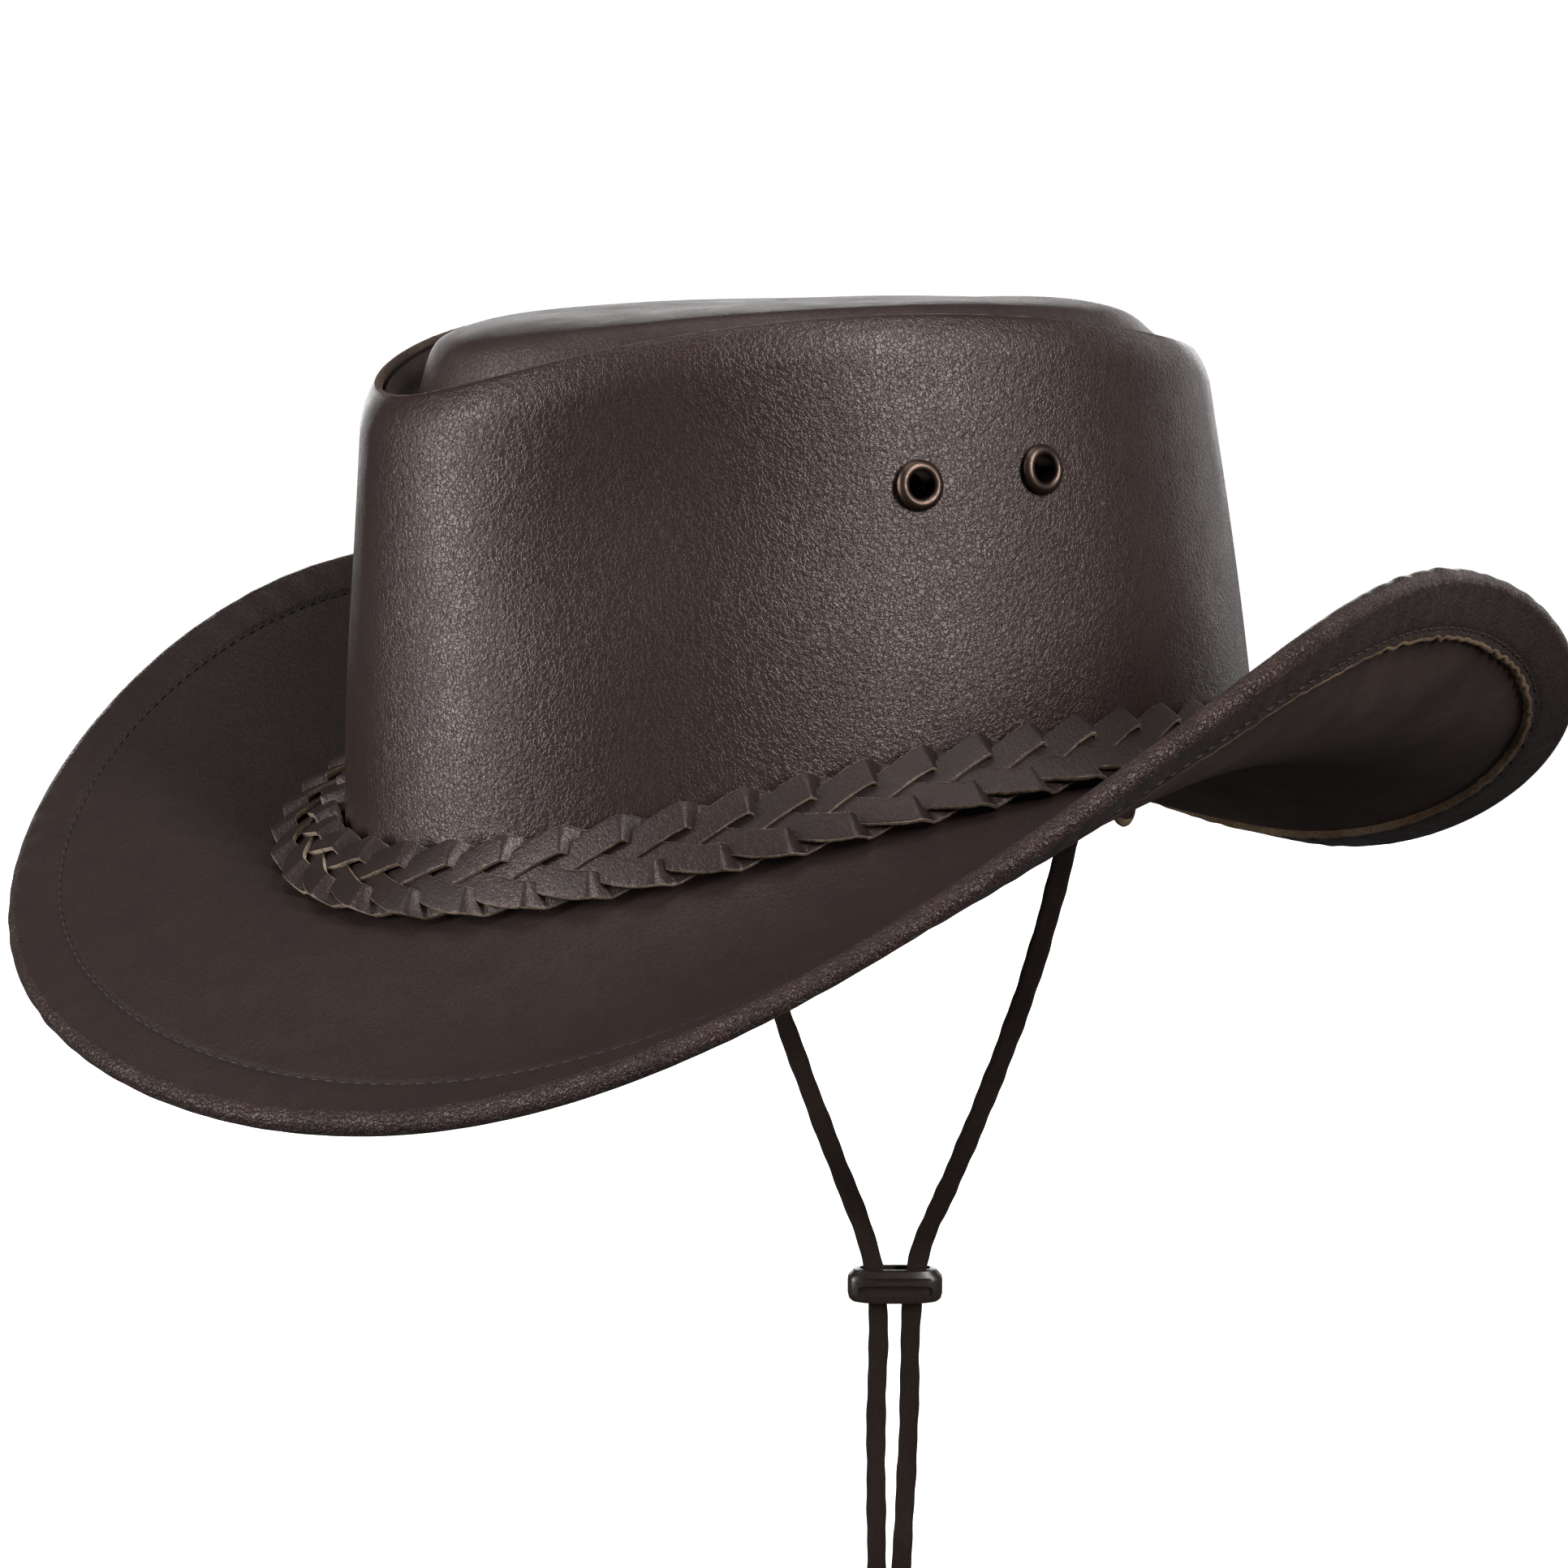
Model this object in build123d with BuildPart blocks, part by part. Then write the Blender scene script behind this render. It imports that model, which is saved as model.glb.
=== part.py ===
from build123d import *
import os
from math import sin, cos, tan, radians, degrees, pi, sqrt, exp, atan2

os.makedirs("parts", exist_ok=True)

# A leather bush hat, in millimetres. The front of the hat points to -Y, the wearer's left is +X.
# The hat is worn tipped forward, so that its own level plane leans down at the front by TILT.
TILT = 7.3

# The oval where the crown meets the brim, outside of the leather.
HALF_LENGTH = 105.5
HALF_WIDTH = 81.5
EGG = -0.06                   # the oval is a little narrower at the front
LEATHER = 2.0                 # hat leather
TOP_LEATHER = 1.8

BEAD = 2.5                    # half the thickness of the rolled brim edge
HEM = 14.0                    # width of the turned-under strip along the brim edge
WIRE = 1.0                    # radius of the shaping wire in the brim edge
GAP = 0.1

SWEAT = 1.2                   # sweatband leather
SWEAT_UP = 30.0
SWEAT_DOWN = 3.2

BRAID_HALF = 2.0              # half the thickness of the plaited hat band
TOP_MIDDLE = 7.5              # the middle of the top panel lies this far behind the crown's
VENTS = ((84.5, 0.637), (100.6, 0.656))    # (angle round the crown, part of the height)

LACE = 3.0                    # round equal of the flat suede lace
LACE_ANGLE = 99.4
LACE_DROP = 5.5               # the lace drops steeply this far before it swings inward
SLIDER_AT = (0.0, 23.6, -116.0)
SLIDER_TURN = 59.0            # how far the slider is turned about the vertical
SLIDER = (21.5, 8.6, 7.6)     # length, depth, height

# The hat's own level plane.
HAT = Plane(origin=(0, 0, 0), x_dir=(1, 0, 0), z_dir=(0, -sin(radians(TILT)), cos(radians(TILT))))
UP = HAT.z_dir


def wave(angle, cosines, sines=()):
    """A smooth value round the hat; angle 0 is the front, 90 the wearer's left."""
    t = radians(angle)
    return (cosines[0] + sum(k * cos((i + 1) * t) for i, k in enumerate(cosines[1:]))
            + sum(k * sin((i + 1) * t) for i, k in enumerate(sines)))


def base(angle):
    """Foot of the crown: x, y and height above the hat's level plane."""
    t = radians(angle)
    return (HALF_WIDTH * sin(t) * (1 + EGG * cos(t)), -HALF_LENGTH * cos(t),
            wave(angle, (1.2, 4.6, -7.4, 0.3)))


def outward(angle):
    t = radians(angle)
    x, y = sin(t) / HALF_WIDTH, -cos(t) / HALF_LENGTH
    n = sqrt(x * x + y * y)
    return x / n, y / n


def section_plane(angle):
    """Upright plane across the hat: local x runs outward from the foot of the crown, y is up."""
    x, y, _ = base(angle)
    nx, ny = outward(angle)
    out = HAT.x_dir * nx + HAT.y_dir * ny
    return Plane(origin=HAT.from_local_coords(Vector(x, y, 0)), x_dir=out, z_dir=out.cross(UP))


# ---- brim ----------------------------------------------------------------------------------
# The brim leaves the crown at one slope and reaches its edge at another. Both change round the
# hat: the sides roll up, the front and the back dip, and the two sides are not quite alike.

def first_slope(angle):
    return wave(angle, (-10.4, 13.2, -16.2, 0.9), (-10.0, -24.2))


def last_slope(angle):
    return wave(angle, (25.2, -22.8, -36.4, 14.0, -4.9, 3.5), (7.0, -8.8, 5.2))


def brim_width(angle):
    return wave(angle, (76.1, 0.5, -4.0))


def brim_point(angle, s, depth=0.0):
    """A point s along the brim from the crown and depth under its top face."""
    total = brim_width(angle)
    first, last = first_slope(angle), last_slope(angle)
    level = wave(angle, (0, 6.2, -3.3))
    steps = 30
    x, y = 0.0, level
    for i in range(steps):
        slope = radians(first + (last - first) * ((i + 0.5) / steps * s / total) ** 1.3)
        x += s / steps * cos(slope)
        y += s / steps * sin(slope)
    y += (base(angle)[2] - level) * (1 - s / total) ** 2
    slope = radians(first + (last - first) * (s / total) ** 1.3)
    return (x + depth * sin(slope), y - depth * cos(slope))


def ring_sections(first, last, outline, step=15):
    """Outlines on the section planes of half the hat."""
    sections = []
    for k in range(int((last - first) / step) + 1):
        angle = first + step * k
        with BuildSketch(section_plane(angle), mode=Mode.PRIVATE) as section:
            with BuildLine():
                outline(angle)
            make_face()
        sections.append(section.sketch)
    return sections


def brim_outline(angle):
    end = brim_width(angle)
    turn = end - BEAD
    first = radians(first_slope(angle))
    along = (GAP - LEATHER * sin(first)) / cos(first)
    under_start = (GAP, base(angle)[2] - LEATHER * cos(first) + along * sin(first))
    top = Spline([(GAP, base(angle)[2] + GAP * tan(first))]
                 + [brim_point(angle, turn * f) for f in (0.15, 0.35, 0.55, 0.75, 0.9, 1.0)])
    edge = ThreePointArc(top @ 1, brim_point(angle, end - BEAD * 0.02, BEAD),
                         brim_point(angle, turn, 2 * BEAD))
    hem = Spline(edge @ 1, brim_point(angle, turn - 5.5, 2 * BEAD - 0.9),
                 brim_point(angle, end - HEM, 2 * LEATHER - 0.2))
    step = Line(hem @ 1, brim_point(angle, end - HEM, LEATHER))
    under = Spline([step @ 1] + [brim_point(angle, turn * f, LEATHER) for f in (0.62, 0.42, 0.24, 0.12)]
                   + [under_start])
    Line(under @ 1, top @ 0)


def wire_sections(first, radius):
    """Round sections of the wire, or its channel, along half the brim edge."""
    sections = []
    for k in range(13):
        angle = first + 15 * k
        with BuildSketch(section_plane(angle), mode=Mode.PRIVATE) as section:
            with Locations(brim_point(angle, brim_width(angle) - BEAD, BEAD)):
                Circle(radius)
        sections.append(section.sketch)
    return sections


with BuildPart() as brim:
    loft(ring_sections(0, 180, brim_outline))
    loft(ring_sections(180, 360, brim_outline))
    # channel for the shaping wire
    for start in (0, 180):
        loft(wire_sections(start, WIRE + GAP), mode=Mode.SUBTRACT)

brim.part.label = "brim"
export_step(brim.part, "parts/brim.step")

with BuildPart() as brim_wire:
    for start in (0, 180):
        loft(wire_sections(start, WIRE))

brim_wire.part.label = "brim_wire"
export_step(brim_wire.part, "parts/brim_wire.step")


# ---- crown ---------------------------------------------------------------------------------

def rim_height(angle):
    return wave(angle, (97.5, 9.7, -7.3, -0.8))


def inset(angle, u):
    """How far the crown wall has leaned in at u of its height."""
    side = abs((angle + 180) % 360 - 180)
    lip = wave(angle, (3.2, 0.4))
    lean = (wave(angle, (13.2, 7.5, -0.1)) - lip) * max(u, 0.0) ** 1.1
    pinch = 4.0 * exp(-((side - 50) / 20) ** 2) * exp(-((u - 0.70) / 0.24) ** 2)
    fullness = -0.6 * sin(pi * min(max(u, 0.0), 1.0))
    roll = lip * max(0.0, (u - 0.90) / 0.10) ** 2
    return lean + pinch + fullness + roll


def wall_point(angle, u, inside=0.0):
    """A point on the crown wall in its section plane, inside from the outer face."""
    foot = base(angle)[2]
    height = rim_height(angle) - foot
    du = 0.01
    a = (-inset(angle, u - du), foot + (u - du) * height)
    b = (-inset(angle, u + du), foot + (u + du) * height)
    length = sqrt((b[0] - a[0]) ** 2 + (b[1] - a[1]) ** 2)
    nx, ny = -(b[1] - a[1]) / length, (b[0] - a[0]) / length
    return (-inset(angle, u) + inside * nx, foot + u * height + inside * ny)


def wall_outline(angle):
    foot = base(angle)[2]
    outer = Spline([(0, foot - LEATHER - 0.2)]
                   + [wall_point(angle, u) for u in (0.12, 0.3, 0.5, 0.7, 0.85, 0.93, 0.99)])
    top = Line(outer @ 1, wall_point(angle, 0.985, LEATHER))
    inner = Spline([top @ 1] + [wall_point(angle, u, LEATHER) for u in (0.92, 0.84, 0.7, 0.5, 0.3, 0.12)]
                   + [(-LEATHER, foot - LEATHER - 0.2)])
    Line(inner @ 1, outer @ 0)


def vent_plane(angle, u):
    """Plane on the outer face of the crown wall at a vent, facing outward."""
    plane = section_plane(angle)
    x, y = wall_point(angle, u)
    x1, y1 = wall_point(angle, u, -1.0)
    spot = plane.from_local_coords(Vector(x, y, 0))
    return Plane(origin=spot, x_dir=UP, z_dir=plane.from_local_coords(Vector(x1, y1, 0)) - spot)


vent_angles = []
for angle, u in VENTS:
    vent_angles += [(angle, u), (-angle, u)]

with BuildPart() as crown_side:
    loft(ring_sections(0, 180, wall_outline))
    loft(ring_sections(180, 360, wall_outline))
    # punched vent holes
    for angle, u in vent_angles:
        with BuildSketch(vent_plane(angle, u).offset(2)):
            Circle(3.5)
        extrude(amount=-8, mode=Mode.SUBTRACT)

crown_side.part.label = "crown_side"
export_step(crown_side.part, "parts/crown_side.step")


def rim_spot(angle, inside):
    x, y, _ = base(angle)
    nx, ny = outward(angle)
    d = -wall_point(angle, 0.985, LEATHER)[0] + inside
    return (x - nx * d, y - ny * d)


def edge_share(x, y):
    """Share of the way from the top panel's middle to its edge at (x, y), and the angle there."""
    wanted = degrees(atan2(x, TOP_MIDDLE - y))
    low, high = wanted - 40, wanted + 40
    for i in range(22):
        angle = (low + high) / 2
        ex, ey = rim_spot(angle, 0.15)
        if (degrees(atan2(ex, TOP_MIDDLE - ey)) - wanted + 180) % 360 < 180:
            low = angle
        else:
            high = angle
    return sqrt((x * x + (y - TOP_MIDDLE) ** 2) / (ex * ex + (ey - TOP_MIDDLE) ** 2)), angle


def top_height(x, y):
    """Height of the top panel: a soft dome inside a crease that is deepest at the front."""
    out, angle = edge_share(x, y)
    out = min(1.0, out)
    front = 1 / (1 + exp((y + 5) / 28))
    dome = 102.5 + 7.5 * front - 0.0006 * max(0.0, y + 20) ** 2
    crease = (1.5 + 8.0 * front) * exp(-((out - 0.935) / 0.045) ** 2)
    edge = wall_point(angle, 0.985, LEATHER)[1] + 0.5
    return edge * out ** 9 + dome * (1 - out ** 9) - crease


def top_sections():
    """Strips across the top panel, from the front of the hat to the back."""
    half, step = 72, 6
    sections = []
    for j in range(34):
        y = -91 + step * j
        across = Plane(origin=HAT.from_local_coords(Vector(0, y, 0)), x_dir=(-1, 0, 0), z_dir=HAT.y_dir)
        spread = [-half + step * i for i in range(25)]
        with BuildSketch(across, mode=Mode.PRIVATE) as section:
            with BuildLine():
                upper = Spline([(x, top_height(x, y)) for x in spread])
                side = Line(upper @ 1, (half, top_height(half, y) - TOP_LEATHER))
                lower = Spline([(x, top_height(x, y) - TOP_LEATHER) for x in reversed(spread)])
                Line(lower @ 1, upper @ 0)
            make_face()
        sections.append(section.sketch)
    return sections


with BuildPart() as crown_tip:
    loft(top_sections())
    with BuildSketch(HAT.offset(60)):
        with BuildLine():
            Spline([rim_spot(15 * k, 0.15) for k in range(24)], periodic=True)
        make_face()
    extrude(amount=70, mode=Mode.INTERSECT)

crown_tip.part.label = "crown_tip"
export_step(crown_tip.part, "parts/crown_tip.step")


# ---- sweatband -----------------------------------------------------------------------------

def sweat_outline(angle):
    foot = base(angle)[2]
    height = rim_height(angle) - foot
    d = LEATHER + 0.2
    tops = (SWEAT_UP * 0.2, SWEAT_UP * 0.6, SWEAT_UP)
    outer = Spline([(-d, foot - SWEAT_DOWN)] + [wall_point(angle, h / height, d) for h in tops])
    top = Line(outer @ 1, wall_point(angle, SWEAT_UP / height, d + SWEAT))
    inner = Spline([top @ 1] + [wall_point(angle, h / height, d + SWEAT) for h in tops[1::-1]]
                   + [(-d - SWEAT, foot - SWEAT_DOWN)])
    Line(inner @ 1, outer @ 0)


with BuildPart() as sweatband:
    loft(ring_sections(0, 180, sweat_outline))
    loft(ring_sections(180, 360, sweat_outline))

sweatband.part.label = "sweatband"
export_step(sweatband.part, "parts/sweatband.step")


# ---- plaited hat band ----------------------------------------------------------------------
# The band is drawn as the flat bar that the three plaited straps fill. It leans on the crown
# and its lower edge stands out on the brim.

def band_ends(angle):
    foot = base(angle)[2]
    low = brim_point(angle, 13.0, -BRAID_HALF - 1.3)
    height = rim_height(angle) - foot
    high = wall_point(angle, 10.2 / height, -BRAID_HALF - 1.3)
    return low, high


def band_outline(angle, grow=0.0):
    (x0, y0), (x1, y1) = band_ends(angle)
    length = sqrt((x1 - x0) ** 2 + (y1 - y0) ** 2)
    ax, ay = (x1 - x0) / length, (y1 - y0) / length
    r = BRAID_HALF + grow
    a = Line((x0 + r * ay, y0 - r * ax), (x1 + r * ay, y1 - r * ax))
    b = ThreePointArc(a @ 1, (x1 + r * ax, y1 + r * ay), (x1 - r * ay, y1 + r * ax))
    c = Line(b @ 1, (x0 - r * ay, y0 + r * ax))
    ThreePointArc(c @ 1, (x0 - r * ax, y0 - r * ay), a @ 0)


with BuildPart() as hatband:
    loft(ring_sections(0, 180, band_outline))
    loft(ring_sections(180, 360, band_outline))

hatband.part.label = "hatband"
export_step(hatband.part, "parts/hatband.step")

# leather loop that hides the join of the band at the back
with BuildPart() as hatband_keeper:
    with BuildSketch(section_plane(180).offset(-4)):
        with BuildLine():
            band_outline(180, 0.95)
        make_face()
        with BuildLine():
            band_outline(180, 0.4)
        make_face(mode=Mode.SUBTRACT)
    extrude(amount=8)

hatband_keeper.part.label = "hatband_keeper"
export_step(hatband_keeper.part, "parts/hatband_keeper.step")


# ---- vents ---------------------------------------------------------------------------------

# Half section of the rolled brass eyelet: distance from the hole's middle, then depth into
# the crown. The flange is outside, the barrel goes through the leather, the end is flared.
EYELET = ((2.8, -1.3), (3.4, -1.7), (4.6, -1.3), (5.15, -0.55), (5.0, -0.5), (3.3, -0.5),
          (3.3, 3.5), (4.1, 4.0), (4.0, 4.3), (2.8, 3.8))

vent_names = ("left_front", "right_front", "left_back", "right_back")
for name, (angle, u) in zip(vent_names, vent_angles):
    plane = vent_plane(angle, u)
    with BuildPart() as vent_eyelet:
        with BuildSketch(Plane(origin=plane.origin, x_dir=plane.x_dir, z_dir=plane.y_dir)):
            with BuildLine():
                Polyline(*EYELET, close=True)
            make_face()
        revolve(axis=Axis(plane.origin, plane.z_dir))
    vent_eyelet.part.label = "vent_eyelet_" + name
    export_step(vent_eyelet.part, "parts/vent_eyelet_" + name + ".step")

    with BuildPart() as vent_washer:
        with BuildSketch(plane.offset(-LEATHER - 1.3)):
            Circle(5.0)
            Circle(3.45, mode=Mode.SUBTRACT)
        extrude(amount=0.6)
    vent_washer.part.label = "vent_washer_" + name
    export_step(vent_washer.part, "parts/vent_washer_" + name + ".step")


# ---- chin lace -----------------------------------------------------------------------------

def lace_start(side):
    """Where a lace leaves the foot of the sweatband, side +1 for the wearer's left."""
    angle = side * LACE_ANGLE
    plane = section_plane(angle)
    return plane.from_local_coords(Vector(-1.2, base(angle)[2] - SWEAT_DOWN - 2.2, 0))


along_slider = Vector(cos(radians(SLIDER_TURN)), sin(radians(SLIDER_TURN)), 0)
slider_middle = Vector(*SLIDER_AT)


def lace_route(side):
    """Corner points of one lace from the sweatband to the knot."""
    start = lace_start(side)
    enter = slider_middle + along_slider * (side * 5.2) + Vector(0, 0, 8.0)
    leave = slider_middle + along_slider * (side * 3.4) - Vector(0, 0, 8.0)
    hang = start - UP * LACE_DROP
    bow = (hang + enter) * 0.5 + Vector(side * 5.0, 0, -5.0)
    points = [start]
    for f in (0.21, 0.54, 0.83, 1.0):
        points.append(hang * (1 - f) ** 2 + bow * (2 * f * (1 - f)) + enter * f ** 2)
    tail = [leave]
    for drop, apart in ((22, 3.9), (52, 3.0), (84, 2.1)):
        tail.append(slider_middle + along_slider * (side * apart - 0.02 * drop) - Vector(0, 0, 8.0 + drop))
    return points + tail


def lace_path(side):
    points = lace_route(side)
    runs = [points[i + 1] - points[i] for i in range(len(points) - 1)]
    radii = []
    for a, b in zip(runs, runs[1:]):
        turn = radians(a.get_angle(b))
        radii.append(0.45 * min(a.length, b.length) / tan(turn / 2))
    print("lace", side, "runs", [round(r.length, 1) for r in runs], "radii", [round(r, 1) for r in radii])
    return points, radii


lace_lengths = {}
for side, name in ((1, "left"), (-1, "right")):
    points, radii = lace_path(side)
    with BuildPart() as chin_lace:
        with BuildLine() as route:
            line = FilletPolyline(*points, radius=radii)
        with BuildSketch(Plane(origin=line @ 0, z_dir=line % 0)):
            Circle(LACE / 2)
        sweep(path=line)
    print("lace", name, "length", round(line.length, 1), "volume ratio",
          round(chin_lace.part.volume / (pi * LACE ** 2 / 4 * line.length), 4))
    chin_lace.part.label = "chin_lace_" + name
    export_step(chin_lace.part, "parts/chin_lace_" + name + ".step")

    # stub of leather that holds the lace under the foot of the crown
    angle = side * (LACE_ANGLE + 5.5)
    spot = section_plane(angle).from_local_coords(Vector(1.2, base(angle)[2] - SWEAT_DOWN - 4.7, 0))
    tangent = section_plane(angle).z_dir
    with BuildPart() as lace_anchor:
        for along, thick, tall in ((-3.5, 1.5, 3.9), (0, 1.9, 4.5), (3.5, 1.5, 3.9)):
            with BuildSketch(Plane(origin=spot + tangent * along, x_dir=UP, z_dir=tangent)):
                Ellipse(tall, thick)
        loft()
    lace_anchor.part.label = "lace_anchor_" + name
    export_step(lace_anchor.part, "parts/lace_anchor_" + name + ".step")

# knot that joins the two lace ends
knot_top = slider_middle - along_slider * (0.02 * 84) - Vector(0, 0, 92.6)
with BuildPart() as lace_end_knot:
    for drop, wide, deep in ((0.5, 3.6, 2.6), (3.0, 6.2, 4.4), (7.0, 6.4, 4.6), (10.5, 4.2, 2.8)):
        with BuildSketch(Plane(origin=knot_top - Vector(0, 0, drop), x_dir=along_slider, z_dir=(0, 0, 1))):
            Ellipse(wide, deep)
    loft()
    for side in (1, -1):
        with Locations(knot_top + along_slider * (side * 2.2) - Vector(0, 0, 15.0)):
            Cylinder(LACE / 2, 12)

lace_end_knot.part.label = "lace_end_knot"
export_step(lace_end_knot.part, "parts/lace_end_knot.step")

# plastic slider that draws the two laces together
slider_plane = Plane(origin=slider_middle, x_dir=along_slider, z_dir=(0, 0, 1))
face_plane = Plane(origin=slider_middle - slider_plane.y_dir * (SLIDER[1] / 2), x_dir=along_slider,
                   z_dir=-slider_plane.y_dir)
with BuildPart() as chin_slider:
    with BuildSketch(slider_plane.offset(-SLIDER[2] / 2)):
        SlotOverall(SLIDER[0], SLIDER[1])
    extrude(amount=SLIDER[2])
    fillet(chin_slider.edges(), 1.4)
    # opening for the two laces
    with BuildSketch(slider_plane.offset(-SLIDER[2])):
        SlotOverall(16.0, 4.4)
    extrude(amount=2 * SLIDER[2], mode=Mode.SUBTRACT)
    # window in the front face
    with BuildSketch(face_plane):
        with Locations((0, -0.9)):
            SlotOverall(13.0, 2.6)
    extrude(amount=-2.2, mode=Mode.SUBTRACT)

chin_slider.part.label = "chin_slider"
export_step(chin_slider.part, "parts/chin_slider.step")
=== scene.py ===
import bpy
import bmesh
import numpy as np
from math import sin, cos, radians, pi
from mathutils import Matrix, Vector

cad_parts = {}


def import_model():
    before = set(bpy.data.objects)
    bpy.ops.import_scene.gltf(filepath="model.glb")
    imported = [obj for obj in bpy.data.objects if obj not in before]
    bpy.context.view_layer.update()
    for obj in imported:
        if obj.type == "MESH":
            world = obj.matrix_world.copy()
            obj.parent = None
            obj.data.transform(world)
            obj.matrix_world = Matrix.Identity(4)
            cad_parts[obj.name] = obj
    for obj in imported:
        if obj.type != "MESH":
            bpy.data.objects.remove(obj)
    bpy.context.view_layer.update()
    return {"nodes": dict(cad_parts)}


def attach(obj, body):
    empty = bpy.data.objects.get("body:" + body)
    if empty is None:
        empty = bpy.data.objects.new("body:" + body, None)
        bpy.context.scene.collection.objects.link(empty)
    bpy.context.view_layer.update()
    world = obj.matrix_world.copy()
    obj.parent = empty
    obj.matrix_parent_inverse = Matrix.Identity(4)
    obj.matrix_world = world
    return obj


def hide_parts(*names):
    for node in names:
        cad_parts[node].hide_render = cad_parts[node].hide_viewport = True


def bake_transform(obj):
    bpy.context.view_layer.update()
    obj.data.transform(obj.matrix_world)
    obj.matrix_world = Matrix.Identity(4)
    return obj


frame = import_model()
MM = 0.001

# ---------------------------------------------------------------------------------------------
# camera: a long lens at about the height of the crown, looking at the front left of the hat
AZ, EL, DIST = radians(59.0), radians(7.25), 0.850
back = Vector((sin(AZ) * cos(EL), -cos(AZ) * cos(EL), sin(EL)))
cam_data = bpy.data.cameras.new("camera")
cam_data.lens = 88.85
cam_data.sensor_width = 36
cam_data.shift_x = -0.0138
cam_data.shift_y = -0.0009
cam_data.clip_start = 0.02
cam = bpy.data.objects.new("camera", cam_data)
bpy.context.scene.collection.objects.link(cam)
cam.location = back * DIST
cam.rotation_euler = back.to_track_quat("Z", "Y").to_euler()
bpy.context.scene.camera = cam

# ---------------------------------------------------------------------------------------------
# shape of the hat in millimetres on its own level plane, as in part.py
TILT = radians(7.3)
HALF_LENGTH, HALF_WIDTH, EGG, LEATHER, TOP_LEATHER = 105.5, 81.5, -0.06, 2.0, 1.8
BEAD, HEM, GAP = 2.5, 14.0, 0.1


def wave(a, cosines, sines=()):
    t = np.radians(a)
    out = cosines[0] + 0 * t
    for i, k in enumerate(cosines[1:]):
        out = out + k * np.cos((i + 1) * t)
    for i, k in enumerate(sines):
        out = out + k * np.sin((i + 1) * t)
    return out


def base(a):
    t = np.radians(a)
    return HALF_WIDTH * np.sin(t) * (1 + EGG * np.cos(t)), -HALF_LENGTH * np.cos(t), wave(a, (1.2, 4.6, -7.4, 0.3))


def outward(a):
    t = np.radians(a)
    x, y = np.sin(t) / HALF_WIDTH, -np.cos(t) / HALF_LENGTH
    n = np.sqrt(x * x + y * y)
    return x / n, y / n


def world(x, y, z):
    """From millimetres on the hat's level plane to metres in the frame."""
    return np.stack([x + 0 * y, y * cos(TILT) - z * sin(TILT), z * cos(TILT) + y * sin(TILT)], -1) * MM


def on_section(a, r, z):
    """r outward from the foot of the crown at angle a, at height z."""
    bx, by, _ = base(a)
    nx, ny = outward(a)
    return world(bx + nx * r, by + ny * r, z)


def first_slope(a):
    return wave(a, (-10.4, 13.2, -16.2, 0.9), (-10.0, -24.2))


def last_slope(a):
    return wave(a, (25.2, -22.8, -36.4, 14.0, -4.9, 3.5), (7.0, -8.8, 5.2))


def brim_width(a):
    return wave(a, (76.1, 0.5, -4.0))


def brim_point(a, s, depth=0.0):
    """Section coordinates of a point s along the brim and depth under its top face."""
    total, first, last = brim_width(a), first_slope(a), last_slope(a)
    level = wave(a, (0, 6.2, -3.3))
    steps = 30
    x, z = 0 * total, level + 0 * total
    for i in range(steps):
        slope = np.radians(first + (last - first) * np.maximum((i + 0.5) / steps * s / total, 0) ** 1.3)
        x = x + s / steps * np.cos(slope)
        z = z + s / steps * np.sin(slope)
    z = z + (base(a)[2] - level) * (1 - s / total) ** 2
    slope = np.radians(first + (last - first) * np.maximum(s / total, 0) ** 1.3)
    return x + depth * np.sin(slope), z - depth * np.cos(slope)


def rim_height(a):
    return wave(a, (97.5, 9.7, -7.3, -0.8))


def inset(a, u):
    side = np.abs((a + 180) % 360 - 180)
    up = np.clip(u, 0, 1)
    lip = wave(a, (3.2, 0.4))
    lean = (wave(a, (13.2, 7.5, -0.1)) - lip) * up ** 1.1
    pinch = 4.0 * np.exp(-((side - 50) / 20) ** 2) * np.exp(-((u - 0.70) / 0.24) ** 2)
    roll = lip * np.maximum(0.0, (u - 0.90) / 0.10) ** 2
    return lean + pinch - 0.6 * np.sin(pi * up) + roll


def wall_point(a, u, inside=0.0):
    foot = base(a)[2]
    height = rim_height(a) - foot
    du = 0.01
    ax, az = -inset(a, u - du), foot + (u - du) * height
    bx, bz = -inset(a, u + du), foot + (u + du) * height
    n = np.sqrt((bx - ax) ** 2 + (bz - az) ** 2)
    return -inset(a, u) - inside * (bz - az) / n, foot + u * height + inside * (bx - ax) / n


def top_height(a, out, y):
    """Height of the top panel, out of the way from its middle to its edge at angle a."""
    front = 1 / (1 + np.exp((y + 5) / 28))
    dome = 102.5 + 7.5 * front - 0.0006 * np.maximum(0.0, y + 20) ** 2
    crease = (1.5 + 8.0 * front) * np.exp(-((out - 0.935) / 0.045) ** 2)
    edge = wall_point(a, 0.985, LEATHER)[1] + 0.5
    return edge * out ** 9 + dome * (1 - out ** 9) - crease


def rim_spot(a, inside):
    x, y, _ = base(a)
    nx, ny = outward(a)
    d = -wall_point(a, 0.985, LEATHER)[0] + inside
    return x - nx * d, y - ny * d


rng = np.random.default_rng(11)


def ripple(a, waves, seed):
    """Smooth uneven value round the ring, about -1 to 1; waves is the range of bumps per turn."""
    r = np.random.default_rng(seed)
    total = 0 * a
    for _ in range(14):
        f = r.integers(waves[0], waves[1])
        total = total + r.uniform(0.4, 1.0) * np.sin(np.radians(a) * f + r.uniform(0, 2 * pi))
    return total / 3.6


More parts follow.
